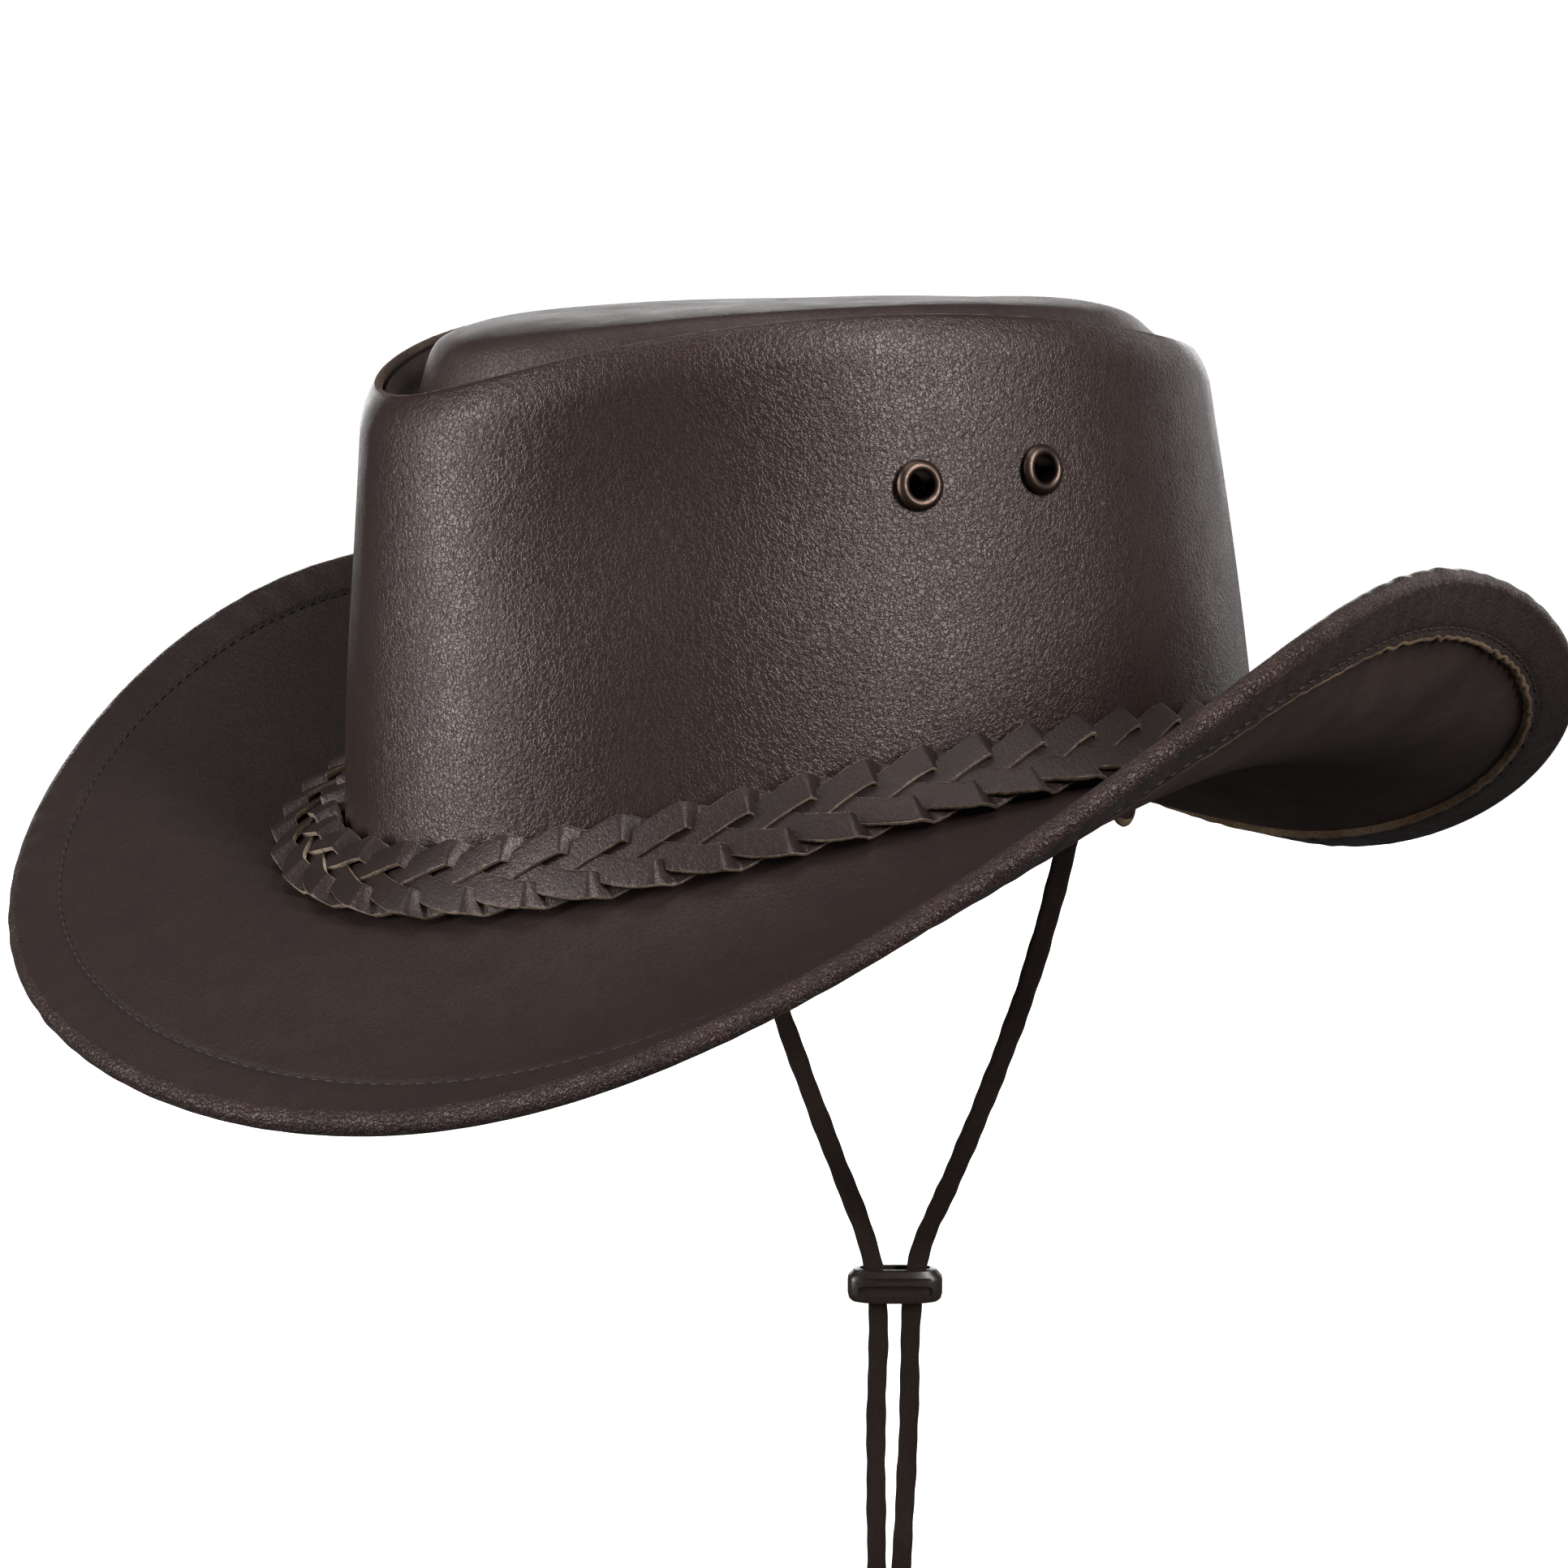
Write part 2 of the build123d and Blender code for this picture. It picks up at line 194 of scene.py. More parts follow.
# ---------------------------------------------------------------------------------------------
# materials
def new_material(name, color, rough, **sockets):
    m = bpy.data.materials.new(name)
    m.use_nodes = True
    b = m.node_tree.nodes["Principled BSDF"]
    b.inputs["Base Color"].default_value = (*color, 1)
    b.inputs["Roughness"].default_value = rough
    for key, value in sockets.items():
        b.inputs[key.replace("_", " ")].default_value = value
    return m, m.node_tree, b


def node(tree, kind, inputs=(), **props):
    n = tree.nodes.new(kind)
    for key, value in props.items():
        setattr(n, key, value)
    for key, value in dict(inputs).items():
        if isinstance(value, bpy.types.NodeSocket):
            tree.links.new(value, n.inputs[key])
        else:
            n.inputs[key].default_value = value
    return n


def ramp(tree, fac, stops):
    n = tree.nodes.new("ShaderNodeValToRGB")
    tree.links.new(fac, n.inputs["Fac"])
    while len(n.color_ramp.elements) < len(stops):
        n.color_ramp.elements.new(0.5)
    for e, (pos, col) in zip(n.color_ramp.elements, stops):
        e.position = pos
        e.color = (*col, 1) if len(col) == 3 else col
    return n


def leather(name, dark, light, rough=(0.40, 0.56), grain=640.0, bump=0.8, spec=0.5):
    """Grained leather: small cracked pebbles, fine pores, speckled colour and uneven shine."""
    m, t, b = new_material(name, dark, 0.5)
    b.inputs["Specular IOR Level"].default_value = spec
    b.inputs["Specular Tint"].default_value = (1.0, 0.86, 0.82, 1)
    at = node(t, "ShaderNodeTexCoord").outputs["Object"]
    warp = node(t, "ShaderNodeTexNoise", {"Vector": at, "Scale": grain * 0.45, "Detail": 3.0})
    push = node(t, "ShaderNodeVectorMath", {0: warp.outputs["Color"], 1: (0.5, 0.5, 0.5)}, operation="SUBTRACT")
    small = node(t, "ShaderNodeVectorMath", {0: push.outputs[0], "Scale": 2.6 / grain}, operation="SCALE")
    bent = node(t, "ShaderNodeVectorMath", {0: at, 1: small.outputs[0]}, operation="ADD").outputs[0]
    cells = node(t, "ShaderNodeTexVoronoi", {"Vector": bent, "Scale": grain}, feature="DISTANCE_TO_EDGE")
    lumps = node(t, "ShaderNodeTexNoise", {"Vector": at, "Scale": grain * 1.05, "Detail": 2.5, "Roughness": 0.55})
    fine = node(t, "ShaderNodeTexNoise", {"Vector": at, "Scale": 2400.0, "Detail": 4.0, "Roughness": 0.7})
    broad = node(t, "ShaderNodeTexNoise", {"Vector": at, "Scale": 90.0, "Detail": 6.0, "Roughness": 0.7})
    cracks = ramp(t, cells.outputs["Distance"], [(0.0, (0, 0, 0)), (0.11, (1, 1, 1))])
    depth = node(t, "ShaderNodeMath", {0: lumps.outputs["Fac"], 1: 1.9}, operation="MULTIPLY")
    height = node(t, "ShaderNodeMath", {0: cracks.outputs["Color"], 1: 0.55, 2: depth.outputs[0]},
                  operation="MULTIPLY_ADD")
    bumps = node(t, "ShaderNodeBump", {"Height": height.outputs[0], "Strength": bump, "Distance": 0.0004})
    t.links.new(bumps.outputs["Normal"], b.inputs["Normal"])
    speck = node(t, "ShaderNodeMath", {0: fine.outputs["Fac"], 1: broad.outputs["Fac"]}, operation="ADD")
    tone = ramp(t, speck.outputs[0], [(0.40, dark), (0.5, tuple((p + q) / 2 for p, q in zip(dark, light))),
                                      (0.61, light)])
    half = node(t, "ShaderNodeMath", {0: speck.outputs[0], 1: 0.5}, operation="MULTIPLY")
    t.links.new(half.outputs[0], tone.inputs["Fac"])
    for e, pos in zip(tone.color_ramp.elements, (0.40, 0.50, 0.61)):
        e.position = pos
    t.links.new(tone.outputs["Color"], b.inputs["Base Color"])
    shine = node(t, "ShaderNodeMapRange", {"Value": broad.outputs["Fac"], "From Min": 0.35, "From Max": 0.68,
                                           "To Min": rough[1], "To Max": rough[0]})
    t.links.new(shine.outputs["Result"], b.inputs["Roughness"])
    return m


def suede(name, dark, light, scale=900.0):
    m, t, b = new_material(name, dark, 0.92)
    b.inputs["Specular IOR Level"].default_value = 0.25
    b.inputs["Sheen Weight"].default_value = 0.03
    b.inputs["Sheen Roughness"].default_value = 0.5
    b.inputs["Sheen Tint"].default_value = (1.0, 0.8, 0.72, 1)
    b.inputs["Specular Tint"].default_value = (1.0, 0.84, 0.78, 1)
    at = node(t, "ShaderNodeTexCoord").outputs["Object"]
    nap = node(t, "ShaderNodeTexNoise", {"Vector": at, "Scale": scale, "Detail": 6.0, "Roughness": 0.75})
    broad = node(t, "ShaderNodeTexNoise", {"Vector": at, "Scale": 60.0, "Detail": 4.0})
    both = node(t, "ShaderNodeMath", {0: nap.outputs["Fac"], 1: broad.outputs["Fac"]}, operation="MULTIPLY")
    tone = ramp(t, both.outputs[0], [(0.15, dark), (0.42, light)])
    t.links.new(tone.outputs["Color"], b.inputs["Base Color"])
    bumps = node(t, "ShaderNodeBump", {"Height": nap.outputs["Fac"], "Strength": 0.5, "Distance": 0.0005})
    t.links.new(bumps.outputs["Normal"], b.inputs["Normal"])
    return m


CROWN = leather("crown_leather", (0.019, 0.0110, 0.0100), (0.036, 0.022, 0.019), rough=(0.30, 0.40), grain=1000.0,
                bump=0.30)
PANEL = leather("panel_leather", (0.021, 0.0125, 0.0115), (0.040, 0.026, 0.023), rough=(0.42, 0.52), grain=900.0,
                bump=0.28)
BRIM_TOP = leather("brim_leather", (0.018, 0.011, 0.010), (0.032, 0.021, 0.0185), rough=(0.38, 0.50), grain=900.0, bump=0.25)
EDGE = leather("edge_leather", (0.016, 0.009, 0.008), (0.055, 0.032, 0.026), rough=(0.30, 0.50), grain=900.0, bump=0.9)
HEM_UNDER = leather("hem_leather", (0.013, 0.008, 0.007), (0.034, 0.021, 0.017), rough=(0.42, 0.6), bump=0.6)
UNDER = suede("brim_suede", (0.012, 0.007, 0.006), (0.045, 0.028, 0.024), scale=1300.0)
RAW = suede("raw_edge", (0.10, 0.060, 0.034), (0.36, 0.25, 0.155), scale=1500.0)
SEAM = suede("seam_edge", (0.040, 0.026, 0.021), (0.16, 0.115, 0.09), scale=1500.0)
STRAP = leather("strap_leather", (0.012, 0.0072, 0.0064), (0.026, 0.016, 0.0140), rough=(0.34, 0.48), grain=1100.0,
                bump=0.2)
STRAP_EDGE = suede("strap_edge", (0.10, 0.070, 0.048), (0.50, 0.40, 0.29), scale=1400.0)
BAND = leather("sweatband_leather", (0.020, 0.012, 0.009), (0.040, 0.025, 0.019), grain=1400.0, bump=0.25)
LACE_SUEDE = suede("lace_suede", (0.009, 0.0055, 0.0045), (0.026, 0.0165, 0.013), scale=1600.0)
THREAD, _, _ = new_material("thread", (0.018, 0.012, 0.010), 0.6)


def metal(name, color, rough):
    m, t, b = new_material(name, color, rough, Metallic=1.0)
    at = node(t, "ShaderNodeTexCoord").outputs["Object"]
    n = node(t, "ShaderNodeTexNoise", {"Vector": at, "Scale": 900.0, "Detail": 5.0, "Roughness": 0.65})
    tone = ramp(t, n.outputs["Fac"], [(0.3, tuple(c * 0.55 for c in color)), (0.7, color)])
    t.links.new(tone.outputs["Color"], b.inputs["Base Color"])
    r = node(t, "ShaderNodeMapRange", {"Value": n.outputs["Fac"], "To Min": rough + 0.15, "To Max": rough - 0.05})
    t.links.new(r.outputs["Result"], b.inputs["Roughness"])
    return m


BRASS = metal("antique_brass", (0.13, 0.088, 0.072), 0.36)
WIRE = metal("wire", (0.5, 0.5, 0.5), 0.35)


def plastic(name):
    m, t, b = new_material(name, (0.020, 0.014, 0.012), 0.34)
    at = node(t, "ShaderNodeTexCoord").outputs["Object"]
    n = node(t, "ShaderNodeTexNoise", {"Vector": at, "Scale": 1300.0, "Detail": 4.0})
    bumps = node(t, "ShaderNodeBump", {"Height": n.outputs["Fac"], "Strength": 0.12, "Distance": 0.0003})
    t.links.new(bumps.outputs["Normal"], b.inputs["Normal"])
    tone = ramp(t, n.outputs["Fac"], [(0.3, (0.016, 0.011, 0.010)), (0.7, (0.028, 0.019, 0.016))])
    t.links.new(tone.outputs["Color"], b.inputs["Base Color"])
    return m


PLASTIC = plastic("slider_plastic")


# ---------------------------------------------------------------------------------------------
# mesh helpers
def add_object(name, mesh, materials, smooth=True):
    for m in materials:
        mesh.materials.append(m)
    if smooth:
        mesh.polygons.foreach_set("use_smooth", [True] * len(mesh.polygons))
    mesh.update()
    o = bpy.data.objects.new(name, mesh)
    bpy.context.scene.collection.objects.link(o)
    return o


def grid_mesh(name, points, slots=None, close_rows=True, close_cols=True, flip=False):
    """points[row][col] -> quads. slots gives the material number of each column step."""
    rows, cols = points.shape[:2]
    verts = points.reshape(-1, 3).tolist()
    faces, mats = [], []
    for i in range(rows if close_rows else rows - 1):
        i2 = (i + 1) % rows
        for j in range(cols if close_cols else cols - 1):
            j2 = (j + 1) % cols
            f = (i * cols + j, i2 * cols + j, i2 * cols + j2, i * cols + j2)
            faces.append(f[::-1] if flip else f)
            mats.append(slots[j] if slots is not None else 0)
    mesh = bpy.data.meshes.new(name)
    mesh.from_pydata(verts, [], faces)
    mesh.polygons.foreach_set("material_index", mats)
    mesh.update()
    return mesh


def tidy(mesh, distance=1e-6):
    bm = bmesh.new()
    bm.from_mesh(mesh)
    bmesh.ops.remove_doubles(bm, verts=bm.verts, dist=distance)
    bmesh.ops.dissolve_degenerate(bm, edges=bm.edges, dist=distance)
    bmesh.ops.recalc_face_normals(bm, faces=bm.faces)
    bm.to_mesh(mesh)
    bm.free()
    return mesh


# ---------------------------------------------------------------------------------------------
# chin laces: flat suede strips on the route of the CAD tubes, split where the slider grips them
LACE_WIDTH, LACE_THICK = 4.4, 1.4
SLIDER_Z = -0.116
ALONG = Vector((cos(radians(59)), sin(radians(59)), 0))
ROUTES = {
    "left": [(80.003, 16.661, 4.348), (65.424, 19.607, -25.214), (40.732, 23.137, -61.313),
             (17.234, 26.239, -91.239), (2.678, 28.057, -108.0), (1.751, 26.514, -124.0),
             (1.782, 26.566, -146.0), (1.009, 25.280, -176.0), (0.216, 23.960, -208.0)],
    "right": [(-80.003, 16.661, 4.348), (-65.424, 17.734, -25.214), (-40.732, 18.323, -61.313),
              (-17.234, 18.840, -91.239), (-2.678, 19.143, -108.0), (-1.751, 20.686, -124.0),
              (-2.235, 19.880, -146.0), (-2.081, 20.137, -176.0), (-1.947, 20.360, -208.0)],
}


def spline_points(route):
    """Points along the smooth spline that the route's points control."""
    curve = bpy.data.curves.new("route", "CURVE")
    curve.dimensions = "3D"
    line = curve.splines.new("NURBS")
    line.points.add(len(route) - 1)
    for point, spot in zip(line.points, route):
        point.co = (spot[0] * MM, spot[1] * MM, spot[2] * MM, 1)
    line.order_u = 3
    line.use_endpoint_u = True
    line.resolution_u = 24
    o = bpy.data.objects.new("route", curve)
    mesh = bpy.data.meshes.new_from_object(o)
    found = [v.co.copy() for v in mesh.vertices]
    bpy.data.objects.remove(o)
    bpy.data.meshes.remove(mesh)
    bpy.data.curves.remove(curve)
    return found


def strip_mesh(name, path, width, thick, across, seed=0):
    """Flat strip with soft edges along a path. across is the wide direction."""
    r = np.random.default_rng(seed)
    phase = r.uniform(0, 6, 6)
    rows = []
    total = 0.0
    for i, p in enumerate(path):
        a, b = path[max(i - 1, 0)], path[min(i + 1, len(path) - 1)]
        if i:
            total += (p - path[i - 1]).length
        t = (b - a).normalized()
        w = across(i / (len(path) - 1)) if callable(across) else across
        w = (w - t * w.dot(t)).normalized()
        n = t.cross(w)
        wide = width * (1 + 0.035 * sin(total * 330 + phase[0]) + 0.03 * sin(total * 820 + phase[1]))
        cup = 0.10 * sin(total * 140 + phase[2])
        ring = []
        for u, v in ((-0.5, -0.25), (-0.42, -0.5), (-0.2, -0.5), (0.2, -0.5), (0.42, -0.5), (0.5, -0.25),
                     (0.5, 0.25), (0.42, 0.5), (0.2, 0.5), (-0.2, 0.5), (-0.42, 0.5), (-0.5, 0.25)):
            lift = cup * (4 * u * u - 0.4)
            q = p + w * (u * wide * MM) + n * ((v * thick + lift) * MM)
            ring.append(q[:])
        rows.append(ring)
    mesh = grid_mesh(name, np.array(rows), close_rows=False)
    bm = bmesh.new()
    bm.from_mesh(mesh)
    bm.verts.ensure_lookup_table()
    bm.faces.new([bm.verts[i] for i in range(12)])
    bm.faces.new([bm.verts[len(rows) * 12 - 12 + i] for i in range(12)][::-1])
    bmesh.ops.recalc_face_normals(bm, faces=bm.faces)
    bm.to_mesh(mesh)
    bm.free()
    return mesh


lace_pieces = {}
for side, route in ROUTES.items():
    points = spline_points(route)
    upper = [p for p in points if p.z > SLIDER_Z]
    lower = [p for p in points if p.z <= SLIDER_Z]
    f = (upper[-1].z - SLIDER_Z) / (upper[-1].z - lower[0].z)
    grip = upper[-1].lerp(lower[0], f)
    upper, lower = upper + [grip], [grip] + lower
    for part, path in (("upper", upper), ("tail", lower)):
        name = "lace_" + part + "_" + side
        mesh = strip_mesh(name, path, LACE_WIDTH, LACE_THICK, ALONG, seed=len(lace_pieces) + 3)
        o = add_object(name, mesh, [LACE_SUEDE])
        lace_pieces[name] = (o, path)


# ---------------------------------------------------------------------------------------------
# crown wall with punched vent holes
VENTS = ((84.5, 0.637), (100.6, 0.656))
vent_spots = []
for name, (a, u) in zip(("left_front", "right_front", "left_back", "right_back"),
                        [(VENTS[0][0], VENTS[0][1]), (-VENTS[0][0], VENTS[0][1]),
                         (VENTS[1][0], VENTS[1][1]), (-VENTS[1][0], VENTS[1][1])]):
    spot = Vector(on_section(a, *wall_point(a, u)))
    out = (Vector(on_section(a, *wall_point(a, u, -1.0))) - spot).normalized()
    vent_spots.append((name, spot, out))


def crown_wall():
    n = 720
    a = np.arange(n) * 360.0 / n
    foot = base(a)[2]
    dents = 0.35 * ripple(a, (3, 11), 4)
    cols, slots = [], []

    def add(p, slot):
        cols.append(on_section(a, *p))
        slots.append(slot)

    add((0 * a, foot - LEATHER - 0.1), 0)
    for u in np.linspace(0.0, 0.985, 104):
        r, z = wall_point(a, u)
        soft = dents * np.sin(pi * min(u / 0.985, 1)) * np.cos(u * 5 + np.radians(a) * 2)
        add((r + soft, z), 0 if u < 0.984 else 1)
    mid = wall_point(a, 0.990, 0.9)
    wob = 0.12 * ripple(a, (30, 130), 9)
    add((mid[0], mid[1] + 0.18 + wob), 1)
    add(wall_point(a, 0.985, LEATHER), 2)
    for u in np.linspace(0.975, 0.0, 70):
        add(wall_point(a, u, LEATHER), 2)
    add((-LEATHER + 0 * a, foot - LEATHER - 0.1), 2)
    pts = np.stack(cols, 1)
    mesh = grid_mesh("crown_wall", pts, slots)
    centers = np.empty(len(mesh.polygons) * 3)
    mesh.polygons.foreach_get("center", centers)
    centers = centers.reshape(-1, 3)
    gone = np.zeros(len(centers), bool)
    for _, spot, out in vent_spots:
        rel = centers - np.array(spot)
        along = rel @ np.array(out)
        away = np.linalg.norm(rel - along[:, None] * np.array(out), axis=1)
        gone |= (away < 3.75 * MM) & (np.abs(along) < 6 * MM)
    bm = bmesh.new()
    bm.from_mesh(mesh)
    bm.faces.ensure_lookup_table()
    bmesh.ops.delete(bm, geom=[bm.faces[i] for i in np.nonzero(gone)[0]], context="FACES")
    bm.to_mesh(mesh)
    bm.free()
    return add_object("crown_wall", mesh, [CROWN, SEAM, UNDER])


wall = crown_wall()


def crown_panel():
    """Top panel: a soft dome inside a crease, sewn to the rim all round."""
    n, m = 480, 84
    a = np.arange(n) * 360.0 / n
    ex, ey = rim_spot(a, 0.35)
    rows = []
    for depth in (0.0, TOP_LEATHER):
        ts = np.concatenate([np.linspace(0.02, 0.80, 40), np.linspace(0.80, 1.0, m - 39)[1:]])
        if depth:
            ts = ts[::-1]
        for t in ts:
            x, y = ex * t, (ey - 7.5) * t + 7.5
            z = top_height(a, t, y) - depth
            z = z + 0.22 * np.sin(x * 0.11 + 1.3) * np.sin(y * 0.09) * (1 - t ** 4)
            rows.append(world(x, y, z))
    pts = np.stack(rows, 1)
    cols = pts.shape[1]
    slots = [0 if j < cols // 2 - 1 else 1 for j in range(cols)]
    mesh = grid_mesh("crown_panel", pts, slots)
    mesh = tidy(mesh)
    return add_object("crown_panel", mesh, [PANEL, UNDER])


panel = crown_panel()


# ---------------------------------------------------------------------------------------------
# brim: top leather rolled over a wire and hemmed on the underside
def brim_ring():
    n = 1440
    a = np.arange(n) * 360.0 / n
    total = brim_width(a)
    turn = total - BEAD
    bead_wave = 0.22 * ripple(a, (40, 120), 21) + 0.18 * ripple(a, (8, 30), 22)
    back = np.exp(-((((a - 150 + 180) % 360) - 180) / 62.0) ** 2)
    gather = (0.04 + 0.16 * back) * ripple(a, (95, 190), 23)
    ragged = 0.30 * ripple(a, (60, 260), 24) + 0.25 * ripple(a, (10, 40), 25)
    cols, slots = [], []

    def add(s, depth, slot):
        cols.append(on_section(a, *brim_point(a, s, depth)))
        slots.append(slot)

    ss = np.concatenate([np.linspace(0.0, 0.80, 34), np.linspace(0.80, 1.0, 30)[1:]])
    for f in ss:
        s = 0.1 + (turn - 0.1) * f
        from_edge = total - s
        groove = 0.45 * np.exp(-((from_edge - 12.6) / 0.8) ** 2)
        puff = -0.30 * np.exp(-((from_edge - 8.0) / 4.0) ** 2)
        soft = 0.5 * np.exp(-(from_edge / 9.0) ** 2) * bead_wave
        add(s, groove + puff + soft, 0)
    slots[-1] = 1
    for k in range(1, 13):
        ang = pi * k / 13
        r = BEAD + 0.5 * bead_wave * sin(ang) + 0.6 * gather * sin(ang) ** 2 * (k > 3)
        add(turn + r * np.sin(ang), BEAD - BEAD * cos(ang), 1)
    for f in np.linspace(0, 1, 16):
        s = turn - (HEM - BEAD) * f
        depth = 2 * BEAD - 1.2 * f ** 0.7
        from_edge = total - s
        groove = 0.5 * np.exp(-((from_edge - 11.6) / 0.7) ** 2)
        edge = ragged * max(0.0, f - 0.7) / 0.3
        add(s + edge, depth - groove + gather * (0.7 + 0.5 * sin(pi * f)), 4)
    slots[-1] = slots[-2] = 2
    last = ragged
    add(turn - (HEM - BEAD) - 0.3 + last, 3.2 + 0 * a, 2)
    add(turn - (HEM - BEAD) - 0.1 + last, LEATHER + 0.1 + 0 * a, 3)
    start_s = turn - (HEM - BEAD) - 1.0
    for f in np.linspace(1, 0, 40):
        first = np.radians(first_slope(a))
        s = 0.3 + (start_s - 0.3) * f + np.maximum(LEATHER * np.tan(-first), 0) * (1 - f) ** 6
        add(s, LEATHER + 0 * a, 3)
    pts = np.stack(cols, 1)
    mesh = grid_mesh("brim_shell", pts, slots)
    return add_object("brim_shell", mesh, [BRIM_TOP, EDGE, RAW, UNDER, HEM_UNDER])


brim = brim_ring()


# ---------------------------------------------------------------------------------------------
# stitches: short rounded threads laid in the grooves
def threads(name, spots, radius, material, sides=6):
    """spots is a list of (start, end, up) for each thread, in metres."""
    verts, faces = [], []
    profile = ((0.0, 0.35), (0.12, 0.85), (0.35, 1.0), (0.65, 1.0), (0.88, 0.85), (1.0, 0.35))
    for start, end, up in spots:
        t = (end - start).normalized()
        side = t.cross(up).normalized()
        first = len(verts)
        for f, r in profile:
            c = start.lerp(end, f) - up * (radius * 0.9 * (2 * f - 1) ** 4)
            for k in range(sides):
                th = 2 * pi * k / sides
                verts.append((c + side * (cos(th) * r * radius) + up * (sin(th) * r * radius))[:])
        for i in range(len(profile) - 1):
            for k in range(sides):
                k2 = (k + 1) % sides
                faces.append((first + i * sides + k, first + i * sides + k2,
                              first + (i + 1) * sides + k2, first + (i + 1) * sides + k))
        faces.append(tuple(first + k for k in range(sides))[::-1])
        faces.append(tuple(first + (len(profile) - 1) * sides + k for k in range(sides)))
    mesh = bpy.data.meshes.new(name)
    mesh.from_pydata(verts, [], faces)
    return add_object(name, mesh, [material])


def stitch_ring(name, at, above, pitch, length, radius, material=None):
    """A ring of stitches on the line at(angle), with above(angle) a point just over it."""
    fine = np.linspace(0, 360, 1441)
    line = at(fine)
    run = np.concatenate([[0], np.cumsum(np.linalg.norm(np.diff(line, axis=0), axis=1))])
    count = int(round(run[-1] / (pitch * MM)))
    spots = []
    for i in range(count):
        s0 = run[-1] * i / count
        a0, a1 = np.interp([s0, s0 + length * MM], run, fine)
        mid = (a0 + a1) / 2
        p0, p1 = Vector(at(a0)), Vector(at(a1))
        up = (Vector(above(mid)) - Vector(at(mid))).normalized()
        spots.append((p0, p1, up))
    return threads(name, spots, radius * MM, material or THREAD)


def hem_top(a, lift=0.0):
    return on_section(a, *brim_point(a, brim_width(a) - 12.6, 0.25 - lift))


def hem_under(a, lift=0.0):
    return on_section(a, *brim_point(a, brim_width(a) - 11.6, 2 * BEAD - 1.35 + lift))


stitches_top = stitch_ring("brim_stitches_top", hem_top, lambda a: hem_top(a, 1.0), 3.4, 2.5, 0.30)
stitches_under = stitch_ring("brim_stitches_under", hem_under, lambda a: hem_under(a, 1.0), 3.4, 2.5, 0.30)


# ---------------------------------------------------------------------------------------------
# plaited hat band: five flat straps in an open-edged herringbone
def band_frame(a):
    """Middle of the band at angle a, its direction up the band and its outward normal."""
    foot = base(a)[2]
    x0, z0 = brim_point(a, 13.0 + 0 * a, -3.3)
    height = rim_height(a) - foot
    x1, z1 = wall_point(a, 10.2 / height, -3.3)
    mx, mz = (x0 + x1) / 2, (z0 + z1) / 2
    length = np.sqrt((x1 - x0) ** 2 + (z1 - z0) ** 2)
    dx, dz = (x1 - x0) / length, (z1 - z0) / length
    return mx, mz, dx, dz


STRAPS, STRAP_WIDE, STRAP_THICK, SWING, TURNS = 5, 5.8, 1.0, 5.4, 10
TURN_ROUND = 0.93                   # 1 is a sharp zigzag, 0 a sine


def swing(t):
    """A strap's way across the band: a zigzag with rounded turns, and its slope per radian."""
    k = TURN_ROUND
    return (SWING * np.arcsin(k * np.sin(t)) / np.arcsin(k),
            SWING * k * np.cos(t) / np.sqrt(1 - (k * np.sin(t)) ** 2) / np.arcsin(k))


def level(s, t, k, step):
    """Height of strap k: it comes up where it turns at the band's edge and sinks slowly from there
    on, so that each strap ends up under the ones that turn after it."""
    since = np.mod((t - pi / 2) / pi + 0.15, 1.0) - 0.15
    turn = (t - since * pi - 2 * pi * k / STRAPS) / step
    up = np.clip((since + 0.13) / 0.16, 0, 1)
    up = up * up * (3 - 2 * up)
    return 0.95 - 0.145 * np.minimum(s - turn + (1 - up) * pi / step, 21.0)


